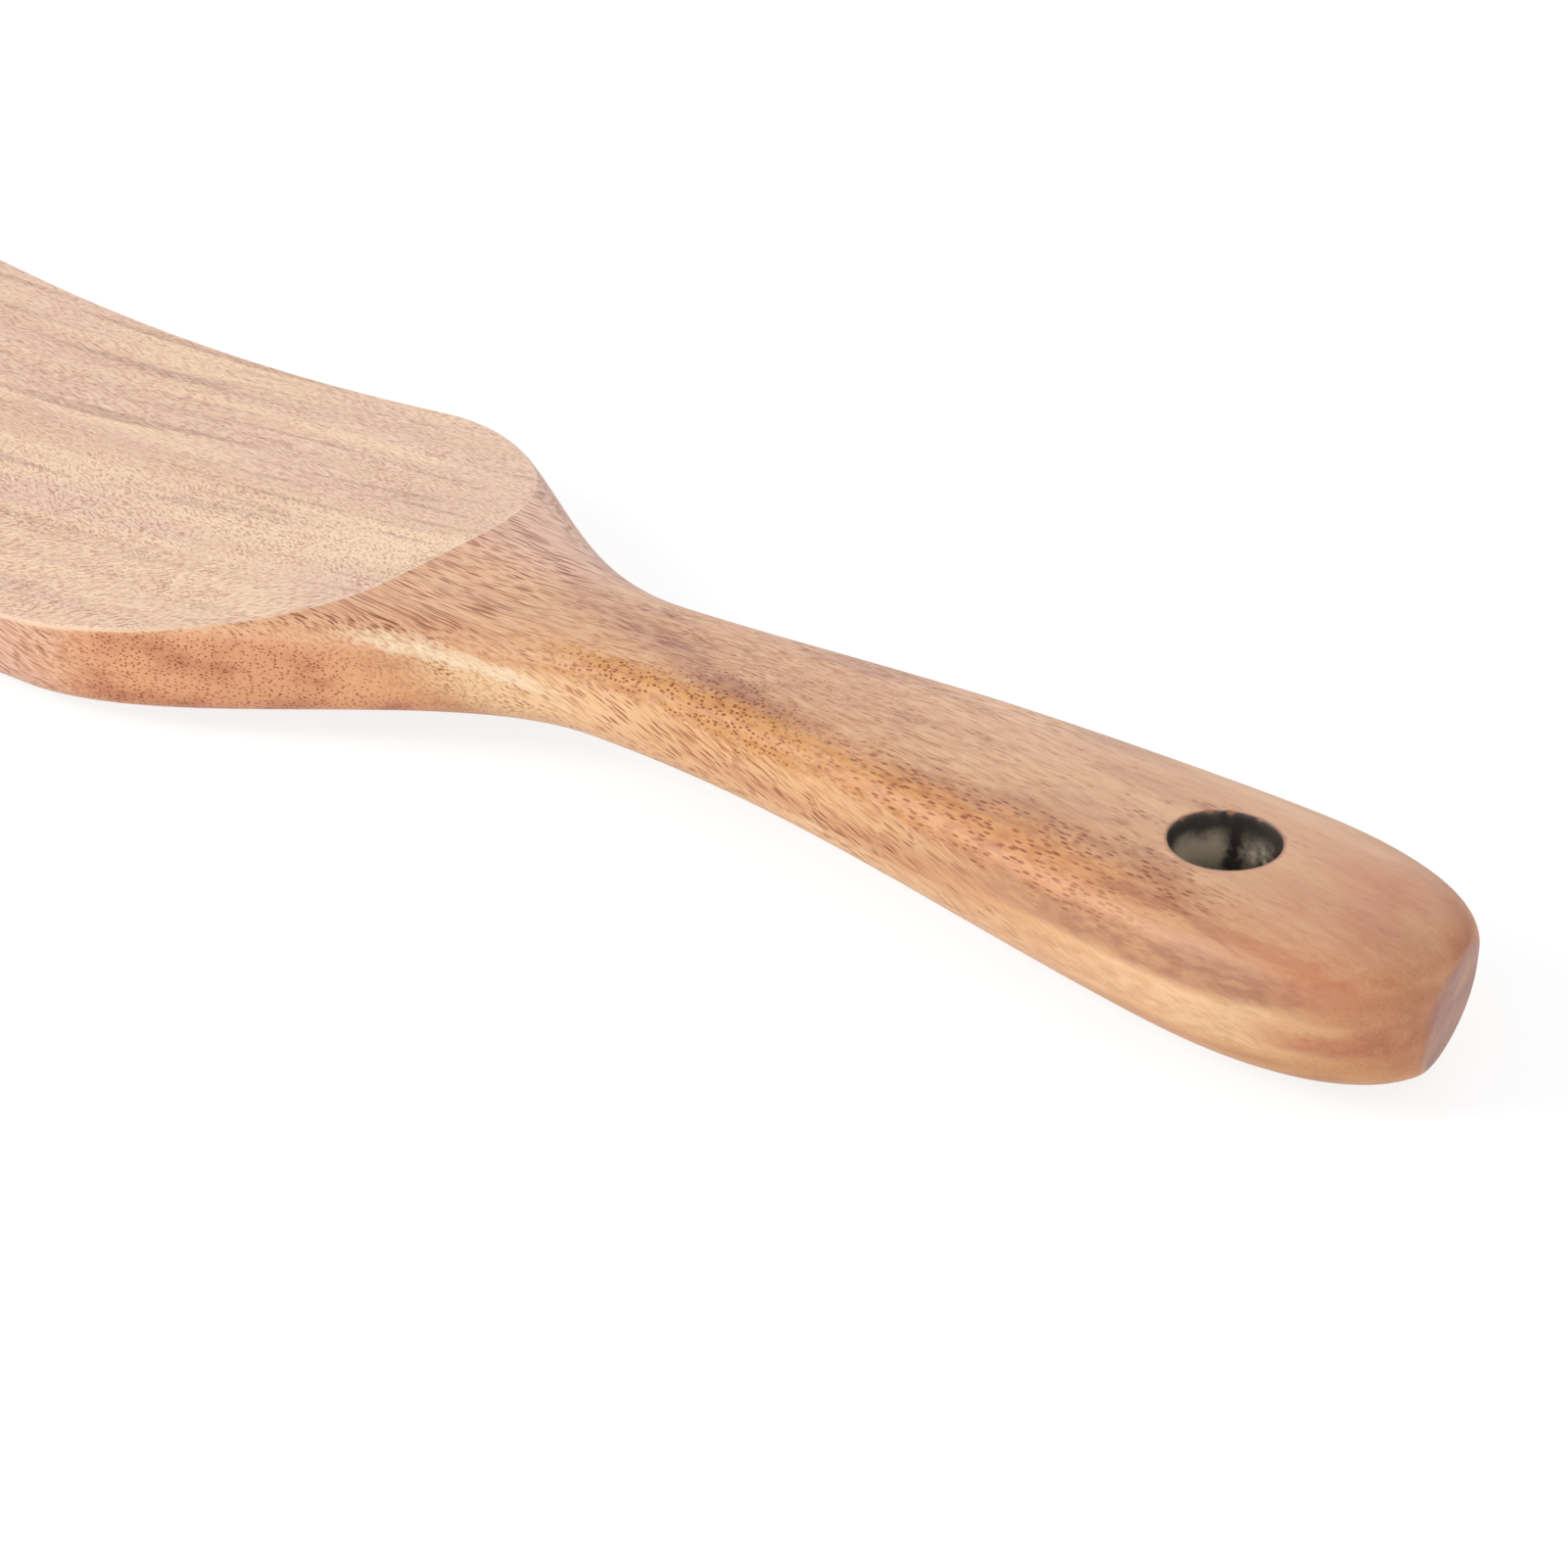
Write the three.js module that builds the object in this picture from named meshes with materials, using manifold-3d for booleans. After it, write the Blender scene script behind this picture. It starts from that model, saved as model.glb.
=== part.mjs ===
// A wooden kitchen spatula, shaped from one board of hardwood: a flared blade, a slim neck and an oval handle.
// Units are millimetres. +X points to the hanging end of the handle, +Y across the blade and +Z up.
// The origin is the middle of the footprint, on the surface that the spatula lies on.

import * as THREE from "three";
import { mergeVertices } from "three/addons/utils/BufferGeometryUtils.js";
import Module from "manifold-3d";

// Lengths along the spatula, each from the station before it.
const END_TO_GRIP = 14.3; // widest place of the handle
const GRIP_TO_NECK = 79.4; // narrowest place
const NECK_TO_LINE = 25.7; // edge where the blade's face starts
const LINE_TO_SHOULDER = 28.2; // where the neck's flare ends
const SHOULDER_TO_TIP = 92.4;

// Widths.
const GRIP_WIDTH = 28.6;
const NECK_WIDTH = 17.2;
const SHOULDER_WIDTH = 62.5;
const FLARE_RADIUS = 485; // hollow of the blade's two long edges

// Heights above the underside.
const END_TOP = 16.1;
const CREST_TOP = 16.6; // highest place of the handle
const CREST_FROM_END = 51.5;
const LINE_TOP = 13.5;
const TIP_THICKNESS = 3.4;

// Hollow under the neck, between the blade's heel and the end of the handle.
const ARCH_HEIGHT = 4.3;
const ARCH_FROM_END = 78.4;
const SHOULDER_TO_HEEL = 15.1;
const UNDERSIDE_PLANED = 0.4; // taken off to make the blade's underside flat

// Rounded ends in plan, and the thickness that the handle still has at its very end.
const NOSE_LENGTH = 26.3;
const NOSE_SQUARENESS = 2.7;
const END_THICKNESS = 5.2;
const END_ROUNDING = 0.7; // how late the handle thins towards its end
const TIP_ROUNDING_LENGTH = 20;
const TIP_SQUARENESS = 3.4;

// Squareness of the cross-sections: 2 is an ellipse, and larger values have fuller corners.
const HANDLE_CROWN = 3.5;
const HANDLE_BELLY = 2.4;
const BLADE_CROWN = 6.2;
const BLADE_BELLY = 6;

// Hanging hole, and the small flat that is sanded on the far corner of the handle's end.
const HOLE_DIAMETER = 10;
const HOLE_FROM_END = 24.3;
const FLAT_TURN = THREE.MathUtils.degToRad(13.4);
const FLAT_LEAN = THREE.MathUtils.degToRad(8); // towards the underside
const FLAT_DEPTH = 1.3;

// Fineness of the facets.
const POINTS_AROUND = 44;
const RING_SPACING = 3.2;
const RINGS_PER_END = 12;
const HOLE_SIDES = 48;
const DRUM_FACET = 6;
const CUT_MARGIN = 5; // how far a cutter reaches past the wood
const WELD = 1e-4;
const ROUNDING = 1e-9;

// Stations along X, with the handle's end at zero until the finished body is centred.
const grip = -END_TO_GRIP;
const neck = grip - GRIP_TO_NECK;
const line = neck - NECK_TO_LINE;
const shoulder = line - LINE_TO_SHOULDER;
const heel = shoulder - SHOULDER_TO_HEEL;
const tip = shoulder - SHOULDER_TO_TIP;

// Value that leaves a at x = xa and reaches b at x = xb, level at both.
function ease(x, xa, a, xb, b) {
  return a + (b - a) * THREE.MathUtils.smoothstep((x - xa) / (xb - xa), 0, 1);
}

// Share of the full size that is left at a distance from a rounded end.
function closing(distance, length, squareness) {
  const inward = 1 - THREE.MathUtils.clamp(distance / length, 0, 1);
  return (1 - inward ** squareness) ** (1 / squareness);
}

const noseClosing = (x) => closing(-x, NOSE_LENGTH, NOSE_SQUARENESS);
const tipClosing = (x) => closing(x - tip, TIP_ROUNDING_LENGTH, TIP_SQUARENESS);

// Plan: the handle swells to the grip, and the blade flares from the shoulder to the tip.
function halfWidth(x) {
  const handle = ease(x, neck, NECK_WIDTH, grip, GRIP_WIDTH) / 2;
  const blade = ease(x, shoulder, SHOULDER_WIDTH, neck, NECK_WIDTH) / 2;
  const flare = Math.max(shoulder - x, 0) ** 2 / (2 * FLARE_RADIUS);
  return (x > neck ? handle : blade + flare) * noseClosing(x) * tipClosing(x);
}

// Side view: the top line and the arched underside before the end is rounded over.
function topLine(x) {
  const crest = -CREST_FROM_END;
  return x > crest ? ease(x, crest, CREST_TOP, 0, END_TOP) : ease(x, line, LINE_TOP, crest, CREST_TOP);
}

function underside(x) {
  const arch = -ARCH_FROM_END;
  const rise = x > arch ? ease(x, arch, ARCH_HEIGHT, 0, 0) : ease(x, heel, 0, arch, ARCH_HEIGHT);
  return rise - UNDERSIDE_PLANED;
}

// Power that keeps the sign, and takes the rounding left at the quarter turns for zero.
function signedPower(value, power) {
  return Math.abs(value) < ROUNDING ? 0 : Math.sign(value) * Math.abs(value) ** power;
}

// One closed ring of points: a superellipse that is squarer on the blade and rounder on the handle.
function ring(x) {
  const middle = (topLine(x) + underside(x)) / 2;
  const thickness = topLine(x) - underside(x);
  const thinned = END_THICKNESS + (thickness - END_THICKNESS) * noseClosing(x) ** END_ROUNDING;
  const crown = ease(x, shoulder, BLADE_CROWN, neck, HANDLE_CROWN);
  const belly = ease(x, shoulder, BLADE_BELLY, neck, HANDLE_BELLY);
  return Array.from({ length: POINTS_AROUND }, (_, i) => {
    const angle = (2 * Math.PI * i) / POINTS_AROUND;
    const power = 2 / (Math.sin(angle) > 0 ? crown : belly);
    const across = signedPower(Math.cos(angle), power);
    const up = signedPower(Math.sin(angle), power);
    return [x, halfWidth(x) * across, middle + (thinned / 2) * up];
  });
}

// Ring stations from tip to end, crowded towards the two rounded ends.
function ringStations() {
  const stations = [];
  for (let i = 0; i < RINGS_PER_END; i++) {
    const inward = 1 - Math.cos((Math.PI / 2) * (i / RINGS_PER_END));
    stations.push(tip + TIP_ROUNDING_LENGTH * inward, -NOSE_LENGTH * inward);
  }
  const start = tip + TIP_ROUNDING_LENGTH;
  const count = Math.ceil((-NOSE_LENGTH - start) / RING_SPACING);
  for (let i = 0; i <= count; i++) {
    stations.push(THREE.MathUtils.lerp(start, -NOSE_LENGTH, i / count));
  }
  return stations.sort((a, b) => a - b);
}

// Skin over the rings. Both ends narrow to an upright line, so welding closes them.
function blankGeometry() {
  const stations = ringStations();
  const points = stations.flatMap(ring);
  const index = [];
  for (let i = 0; i + 1 < stations.length; i++) {
    for (let k = 0; k < POINTS_AROUND; k++) {
      const a = i * POINTS_AROUND + k;
      const b = i * POINTS_AROUND + ((k + 1) % POINTS_AROUND);
      const c = a + POINTS_AROUND;
      const d = b + POINTS_AROUND;
      index.push(a, b, d, a, d, c);
    }
  }
  const geometry = new THREE.BufferGeometry();
  geometry.setAttribute("position", new THREE.Float32BufferAttribute(points.flat(), 3));
  geometry.setIndex(index);
  return geometry;
}

// Sanding drum whose axis lies over the tip. It leaves the tip's thickness and runs out at the line.
function drumGeometry() {
  const run = line - tip;
  const rise = LINE_TOP - TIP_THICKNESS;
  const radius = (run ** 2 + rise ** 2) / (2 * rise);
  const sides = Math.ceil((2 * Math.PI * radius) / DRUM_FACET);
  const width = 2 * (halfWidth(tip + TIP_ROUNDING_LENGTH) + CUT_MARGIN);
  const drum = new THREE.CylinderGeometry(radius, radius, width, sides);
  return drum.translate(tip, 0, TIP_THICKNESS + radius);
}

function holeGeometry() {
  const height = CREST_TOP + 2 * CUT_MARGIN;
  const pin = new THREE.CylinderGeometry(HOLE_DIAMETER / 2, HOLE_DIAMETER / 2, height, HOLE_SIDES);
  return pin.rotateX(Math.PI / 2).translate(-HOLE_FROM_END, 0, CREST_TOP / 2);
}

const wasm = await Module();
wasm.setup();

function solid(geometry) {
  const bare = new THREE.BufferGeometry();
  bare.setAttribute("position", geometry.getAttribute("position"));
  bare.setIndex(geometry.getIndex());
  const welded = mergeVertices(bare, WELD);
  return new wasm.Manifold(
    new wasm.Mesh({
      numProp: 3,
      vertProperties: welded.getAttribute("position").array,
      triVerts: new Uint32Array(welded.getIndex().array),
    }),
  );
}

function geometryOf(body) {
  const mesh = body.getMesh();
  const geometry = new THREE.BufferGeometry();
  geometry.setAttribute("position", new THREE.BufferAttribute(mesh.vertProperties, mesh.numProp));
  geometry.setIndex(new THREE.BufferAttribute(mesh.triVerts, 1));
  geometry.computeVertexNormals();
  return geometry;
}

// The flat lies square to a direction turned from the handle's axis, a little inside the furthest point.
function withEndFlat(body, blank) {
  const outward = new THREE.Vector3(1, 0, 0);
  outward.applyEuler(new THREE.Euler(0, FLAT_LEAN, FLAT_TURN, "ZYX"));
  const points = blank.getAttribute("position");
  let reach = -Infinity;
  for (let i = 0; i < points.count; i++) {
    reach = Math.max(reach, new THREE.Vector3().fromBufferAttribute(points, i).dot(outward));
  }
  return body.trimByPlane(outward.clone().negate().toArray(), FLAT_DEPTH - reach);
}

function spatulaGeometry() {
  const blank = blankGeometry();
  const faced = solid(blank).subtract(solid(drumGeometry()));
  const planed = faced.trimByPlane([0, 0, 1], 0);
  const drilled = planed.subtract(solid(holeGeometry()));
  const geometry = geometryOf(withEndFlat(drilled, blank));
  geometry.computeBoundingBox();
  const middle = geometry.boundingBox.getCenter(new THREE.Vector3());
  return geometry.translate(-middle.x, -middle.y, -geometry.boundingBox.min.z);
}

const wood = new THREE.MeshStandardMaterial({ name: "oiled_hardwood", color: 0xcf9a6c, roughness: 0.55, metalness: 0 });

const body = new THREE.Mesh(spatulaGeometry(), wood);
body.name = "spatula_body";

const spatula = new THREE.Group();
spatula.name = "wooden_spatula";
spatula.add(body);

export default spatula;
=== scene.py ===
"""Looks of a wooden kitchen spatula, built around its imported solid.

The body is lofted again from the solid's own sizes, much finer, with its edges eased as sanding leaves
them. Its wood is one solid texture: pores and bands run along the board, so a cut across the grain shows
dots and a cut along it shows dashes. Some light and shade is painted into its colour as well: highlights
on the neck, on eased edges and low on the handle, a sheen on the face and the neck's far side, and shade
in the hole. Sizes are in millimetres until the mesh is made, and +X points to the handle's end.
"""

import math

import bmesh
import bpy
import numpy as np
from mathutils import Matrix, Vector


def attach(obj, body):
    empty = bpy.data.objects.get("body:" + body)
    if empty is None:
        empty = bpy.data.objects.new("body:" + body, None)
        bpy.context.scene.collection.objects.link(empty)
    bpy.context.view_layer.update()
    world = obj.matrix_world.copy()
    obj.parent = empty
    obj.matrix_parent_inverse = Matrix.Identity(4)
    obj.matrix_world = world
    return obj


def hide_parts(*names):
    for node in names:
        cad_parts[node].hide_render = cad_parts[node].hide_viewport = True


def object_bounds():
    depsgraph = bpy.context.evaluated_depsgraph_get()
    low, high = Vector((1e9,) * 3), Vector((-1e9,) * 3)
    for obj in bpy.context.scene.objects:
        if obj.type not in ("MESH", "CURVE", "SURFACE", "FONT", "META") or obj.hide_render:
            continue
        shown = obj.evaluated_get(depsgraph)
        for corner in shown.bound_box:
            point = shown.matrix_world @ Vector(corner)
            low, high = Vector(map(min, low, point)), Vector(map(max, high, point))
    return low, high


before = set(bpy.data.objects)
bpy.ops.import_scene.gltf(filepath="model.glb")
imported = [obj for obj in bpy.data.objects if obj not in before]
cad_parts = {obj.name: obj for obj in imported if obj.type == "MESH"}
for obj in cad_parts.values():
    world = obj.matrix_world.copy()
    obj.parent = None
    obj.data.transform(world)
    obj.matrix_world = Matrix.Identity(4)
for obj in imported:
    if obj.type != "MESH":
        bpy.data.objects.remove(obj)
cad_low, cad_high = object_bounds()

NODE = "spatula_body"
PIECE = "spatula_wood"
MM = 0.001

# Sizes of the solid: lengths along the spatula, each from the station before it.
END_TO_GRIP = 14.3
GRIP_TO_NECK = 79.4
NECK_TO_LINE = 25.7
LINE_TO_SHOULDER = 28.2
SHOULDER_TO_TIP = 92.4
SHOULDER_TO_HEEL = 15.1
CREST_FROM_END = 51.5
ARCH_FROM_END = 78.4

# Widths, and heights above the underside.
GRIP_WIDTH = 28.6
NECK_WIDTH = 17.2
SHOULDER_WIDTH = 62.5
FLARE_RADIUS = 485
END_TOP = 16.1
CREST_TOP = 16.6
LINE_TOP = 13.5
TIP_THICKNESS = 3.4
ARCH_HEIGHT = 4.3
UNDERSIDE_PLANED = 0.4

# Rounded ends, squareness of the cross-sections, the hanging hole and the small flat on the end.
NOSE_LENGTH = 26.3
NOSE_SQUARENESS = 2.7
END_THICKNESS = 5.2
END_ROUNDING = 0.7
TIP_ROUNDING_LENGTH = 20
TIP_SQUARENESS = 3.4
HANDLE_CROWN = 3.5
HANDLE_BELLY = 2.4
BLADE_CROWN = 6.2
BLADE_BELLY = 6
HOLE_DIAMETER = 10
HOLE_FROM_END = 24.3
FLAT_TURN = math.radians(13.4)
FLAT_LEAN = math.radians(8)
FLAT_DEPTH = 1.3

# Sanding that only the fine body has.
EDGE_ROUNDING = 0.5  # edge of the blade's face
EDGE_MOST_TURN = 0.3  # most that this rounding takes of a section's angle, in radians
EDGE_MOST_SHARE = 0.4  # and of its half width
HEEL_ROUNDING = 0.9  # lower edge of the tip
TIP_EASED = 0.8  # share of the tip's rounding over which its end is eased
FLAT_ROUNDING = 0.22
FLAT_HIGHLIGHT_BELOW = 11  # height under which the flat's edge is painted pale, as a highlight
SHARP_ANGLE = math.radians(50)  # edges that turn more than this stay crisp

# Rims of the hanging hole, eased by hand and nicked by the drill.
RIM_ROUNDING = 0.22
RIM_FLARE_STOP = 0.3  # height over the wood at which the eased rim stops widening
RIM_CHIPS = 0.16  # depth of the nicks
RIM_CHIPS_FADE = 0.8  # and how far down they reach
RIM_TORN = math.radians(135)  # where round the rim they are deepest
RIM_NICKS = ((13, 1.0, 0), (21, 0.8, 1))  # how many there are, how deep, and how far turned in radians

# Fineness of the loft.
TIP_RINGS = 48
NOSE_RINGS = 56
RING_SPACING = 0.9
RINGS_BESIDE_LINE = (-0.625, -0.25, 0, 0.25, 0.625)
LINE_CLEARANCE = 0.875  # from the face's edge to the next even ring
LOWER_ROWS = 64
EDGE_ROWS = 5
TOP_ROWS = 48
TOP_CROWDING = 0.35  # 1 spaces the top's rows evenly, and less crowds them at its edge
LINE_SHARE = 0.8  # share of the half width at which the face's edge leaves the crown for the wall
BULGE_BLADE = 40  # reach of the bend that lets rings follow the face's edge
BULGE_NECK = 45
HOLE_SIDES = 144
RIM_DEPTHS = (-2, -0.3, 0, 0.1, 0.25, 0.5, 1, 2, 4)  # rings of the hole's wall, from the wood's surface
BISECTIONS = 60
ANGLE_STEP = 1e-4
TINY = 1e-9
WELD = 1e-8

# Marks on the mesh's points that the material reads.
FACE_MARK = "blade_face"
# Eased edges, painted pale partly as wear and partly as a highlight.
EDGE_HIGHLIGHT_MARK = "worn_edge_highlight"

# Stations along X, with the handle's end at zero until the body is placed, and the hole's radius.
GRIP = -END_TO_GRIP
NECK = GRIP - GRIP_TO_NECK
LINE = NECK - NECK_TO_LINE
SHOULDER = LINE - LINE_TO_SHOULDER
HEEL = SHOULDER - SHOULDER_TO_HEEL
TIP = SHOULDER - SHOULDER_TO_TIP
CREST = -CREST_FROM_END
ARCH = -ARCH_FROM_END
HOLE = -HOLE_FROM_END
HOLE_RADIUS = HOLE_DIAMETER / 2

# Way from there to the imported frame, and the hole's place in it.
SHIFT = cad_low.x / MM - TIP
HOLE_X = HOLE + SHIFT


def ease(x, xa, a, xb, b):
    """Value that leaves a at xa and reaches b at xb, level at both."""
    t = np.clip((x - xa) / (xb - xa), 0, 1)
    return a + (b - a) * t * t * (3 - 2 * t)


def closing(distance, length, power):
    """Share of the full size that is left at a distance from a rounded end."""
    inward = 1 - np.clip(distance / length, 0, 1)
    return (1 - inward**power) ** (1 / power)


def nose_closing(x):
    return closing(-x, NOSE_LENGTH, NOSE_SQUARENESS)


def half_width(x):
    handle = ease(x, NECK, NECK_WIDTH, GRIP, GRIP_WIDTH) / 2
    blade = ease(x, SHOULDER, SHOULDER_WIDTH, NECK, NECK_WIDTH) / 2
    flare = np.maximum(SHOULDER - x, 0) ** 2 / (2 * FLARE_RADIUS)
    tip_closing = closing(x - TIP, TIP_ROUNDING_LENGTH, TIP_SQUARENESS)
    return np.where(x > NECK, handle, blade + flare) * nose_closing(x) * tip_closing


def middle_and_half(x):
    """Middle height of a section and half its thickness, before the face is cut."""
    handle_top = ease(x, CREST, CREST_TOP, 0, END_TOP)
    top = np.where(x > CREST, handle_top, ease(x, LINE, LINE_TOP, CREST, CREST_TOP))
    handle_rise = ease(x, ARCH, ARCH_HEIGHT, 0, 0)
    rise = np.where(x > ARCH, handle_rise, ease(x, HEEL, 0, ARCH, ARCH_HEIGHT))
    under = rise - UNDERSIDE_PLANED
    thinned = END_THICKNESS + (top - under - END_THICKNESS) * nose_closing(x) ** END_ROUNDING
    return (top + under) / 2, thinned / 2


def squareness(x):
    """Powers of a section's curve, above its side and below it."""
    crown = ease(x, SHOULDER, BLADE_CROWN, NECK, HANDLE_CROWN)
    belly = ease(x, SHOULDER, BLADE_BELLY, NECK, HANDLE_BELLY)
    return crown, belly


def face_height(x):
    """Height of the blade's face, hollowed by a drum whose axis lies over the tip."""
    run = LINE - TIP
    rise = LINE_TOP - TIP_THICKNESS
    radius = (run**2 + rise**2) / (2 * rise)
    return TIP_THICKNESS + radius - np.sqrt(radius**2 - (x - TIP) ** 2)


def crown_height(x, y):
    """Height of the blank's upper side."""
    middle, half = middle_and_half(x)
    crown, _ = squareness(x)
    share = np.clip(np.abs(y) / np.maximum(half_width(x), TINY), 0, 1)
    return middle + half * (1 - share**crown) ** (1 / crown)


def belly_height(x, y):
    """Height of the blank's underside."""
    middle, half = middle_and_half(x)
    _, belly = squareness(x)
    return middle - half * (1 - (np.abs(y) / half_width(x)) ** belly) ** (1 / belly)


def top_height(x, y):
    return np.minimum(crown_height(x, y), face_height(x))


def section_point(x, angle):
    """Point of the blank's section at an angle from its side, upwards."""
    crown, belly = squareness(x)
    middle, half = middle_and_half(x)
    power = np.where(angle > 0, crown, belly)
    across = np.cos(angle)
    up = np.sin(angle)
    size = (np.abs(across) ** power + np.abs(up) ** power) ** (-1 / power)
    return half_width(x) * across * size, middle + half * up * size


def bisect(below, low, high):
    """Values at which below() turns from true to false, between arrays low and high."""
    for _ in range(BISECTIONS):
        mid = (low + high) / 2
        inside = below(mid)
        low = np.where(inside, mid, low)
        high = np.where(inside, high, mid)
    return (low + high) / 2


def line_corner():
    """Station where the edge of the face leaves the crown and goes down the wall."""

    def on_wall(x):
        return face_height(x) < crown_height(x, LINE_SHARE * half_width(x))

    return bisect(on_wall, np.array(SHOULDER), np.array(LINE))


def corner_angle(x, corner):
    """Angle of each section's corner: the face's edge on the blade, and a point of the crown past it."""
    crown, belly = squareness(x)
    middle, half = middle_and_half(x)
    level = np.clip((face_height(x) - middle) / half, -1, 1)
    power = np.where(level > 0, crown, belly)
    cut = np.arctan2(level, (1 - np.abs(level) ** power) ** (1 / power))
    full = np.arctan2((1 - LINE_SHARE**crown) ** (1 / crown), LINE_SHARE)
    return np.where(x < corner, cut, full)


def ring_stations(corner):
    """Stations from tip to end, crowded at both rounded ends and beside the edge of the face."""
    tip_share = np.arange(TIP_RINGS) / TIP_RINGS
    nose_share = np.arange(NOSE_RINGS) / NOSE_RINGS
    tip_part = TIP + TIP_ROUNDING_LENGTH * tip_share**TIP_SQUARENESS
    nose_part = -NOSE_LENGTH * nose_share**NOSE_SQUARENESS
    start = TIP + TIP_ROUNDING_LENGTH
    even = np.linspace(start, -NOSE_LENGTH, round((-NOSE_LENGTH - start) / RING_SPACING))
    even = even[np.abs(even - corner) > LINE_CLEARANCE]
    beside = corner + np.array(RINGS_BESIDE_LINE)
    return np.sort(np.concatenate([tip_part, even, beside, nose_part]))


def lower_rows(x, angle):
    """Rows from the underside's middle up the wall, to a little below each section's corner."""
    y0, z0 = section_point(x, angle - ANGLE_STEP)
    y1, z1 = section_point(x, angle)
    turn = EDGE_ROUNDING * ANGLE_STEP / np.maximum(np.hypot(y1 - y0, z1 - z0), TINY)
    last = angle - np.minimum(turn, EDGE_MOST_TURN)
    share = np.linspace(0, 1, LOWER_ROWS)
    row_y, row_z = section_point(x, -np.pi / 2 + (last + np.pi / 2) * share)
    row_y[:, 0] = 0
    return row_y, row_z


def edge_shares():
    """Places of the edge's rows on its curve, from the wall at 0 to the top at 1."""
    return np.arange(1, EDGE_ROWS + 1) / (EDGE_ROWS + 1)


def edge_curve(start, corner, end):
    """Rows of a curve that leaves start towards the corner and reaches end from it."""
    t = edge_shares()
    return (1 - t) ** 2 * start + 2 * t * (1 - t) * corner + t**2 * end


def line_bulge(x, corner, line_y):
    """How far rings bend along X, so that the face's edge is a line of the mesh through rows at line_y."""

    def before_line(mid):
        return face_height(mid) < crown_height(mid, line_y)

    line_x = bisect(before_line, np.full_like(line_y, corner), np.full_like(line_y, LINE))
    blade_side = ease(x, corner - BULGE_BLADE, 0, corner, 1)
    neck_side = ease(x, corner, 1, corner + BULGE_NECK, 0)
    return np.where(x < corner, blade_side, neck_side) * (line_x - line_x[0])


def tip_easing(x, ring_z):
    """How far points move in from the tip, whose end is rounded along X as its sides are across."""
    low = np.clip(1 - ring_z / HEEL_ROUNDING, 0, 1)
    heel = HEEL_ROUNDING * (1 - np.sqrt(1 - low**2))
    over = np.concatenate([np.zeros(LOWER_ROWS), edge_shares() ** 2, np.ones(TOP_ROWS)]) * EDGE_ROUNDING
    return (heel + over) * ease(x, TIP, 1, TIP + TIP_EASED * TIP_ROUNDING_LENGTH, 0)


def half_rings():
    """Rings of one half, from the underside's middle round to the top's.

    Gives X, Y and Z by station and row, where that is the blade's face, and where it is an eased edge,
    painted pale as wear and as a highlight.
    """
    corner = line_corner()
    x = ring_stations(corner)[:, None]
    at_line = int(np.argmin(np.abs(x[:, 0] - corner)))
    angle = corner_angle(x, corner)

    # Up the wall, over the edge on a curve that touches wall and top, then across the top to the middle.
    lower_y, lower_z = lower_rows(x, angle)
    corner_y, corner_z = section_point(x, angle)
    inset_y = corner_y - np.minimum(EDGE_ROUNDING, EDGE_MOST_SHARE * corner_y)
    edge_y = edge_curve(lower_y[:, -1:], corner_y, inset_y)
    edge_z = edge_curve(lower_z[:, -1:], corner_z, top_height(x, inset_y))
    grow = np.linspace(0, 1, TOP_ROWS)
    top_y = inset_y * (1 - (TOP_CROWDING * grow + (1 - TOP_CROWDING) * grow**2))
    upper_x = x + line_bulge(x, corner, np.concatenate([edge_y[at_line], top_y[at_line]]))
    top_z = top_height(upper_x[:, EDGE_ROWS:], top_y)

    ring_y = np.concatenate([lower_y, edge_y, top_y], axis=1)
    ring_z = np.maximum(np.concatenate([lower_z, edge_z, top_z], axis=1), 0)
    ring_x = np.concatenate([np.repeat(x, LOWER_ROWS, axis=1), upper_x], axis=1)
    ring_x += tip_easing(x, ring_z)

    row = np.arange(ring_y.shape[1])
    station = np.arange(len(x))[:, None]
    is_face = (row >= LOWER_ROWS + EDGE_ROWS // 2) & (station <= at_line)
    on_edge = (row >= LOWER_ROWS) & (row < LOWER_ROWS + EDGE_ROWS) & (station <= at_line)
    on_line = (row >= LOWER_ROWS) & (station == at_line)
    return ring_x, ring_y, ring_z, is_face.astype(float), (on_edge | on_line).astype(float)


def flat_direction():
    """Direction that the end's flat faces."""
    level = math.cos(FLAT_LEAN)
    return np.array([level * math.cos(FLAT_TURN), level * math.sin(FLAT_TURN), -math.sin(FLAT_LEAN)])


def cut_end_flat(points):
    """Moves points past the end's flat back onto it, easing its edge.

    Gives the points and how much of each is the lower part of that edge, which is painted pale as a
    highlight.
    """
    outward = flat_direction()
    reach = points @ outward
    past = (reach - reach.max() + FLAT_DEPTH) / FLAT_ROUNDING
    shaved = FLAT_ROUNDING * np.logaddexp(0, past)
    low = np.clip(1 - points[:, 2] / FLAT_HIGHLIGHT_BELOW, 0, 1)
    return points - shaved[:, None] * outward, np.exp(-(past**2)) * low


def packed(points):
    """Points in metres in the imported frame."""
    return (points + np.array([SHIFT, 0, 0])) * MM


def ring_faces(rings, around):
    """Quads between neighbouring closed rings."""
    faces = []
    for i in range(rings - 1):
        for k in range(around):
            a = i * around + k
            b = i * around + (k + 1) % around
            faces.append((a, a + around, b + around, b))
    return faces


def mirrored(values):
    """Values of both halves, ring by ring, from those of one half."""
    return np.concatenate([values, values[:, -2:0:-1]], axis=1).ravel()


def mesh_from(name, points, faces):
    mesh = bpy.data.meshes.new(name)
    mesh.from_pydata(points.tolist(), [], faces)
    mesh.validate()
    return mesh


def close_mesh(mesh):
    """Welds points that coincide and turns all faces outwards."""
    work = bmesh.new()
    work.from_mesh(mesh)
    bmesh.ops.remove_doubles(work, verts=work.verts, dist=WELD)
    bmesh.ops.recalc_face_normals(work, faces=work.faces)
    work.to_mesh(mesh)
    work.free()


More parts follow.
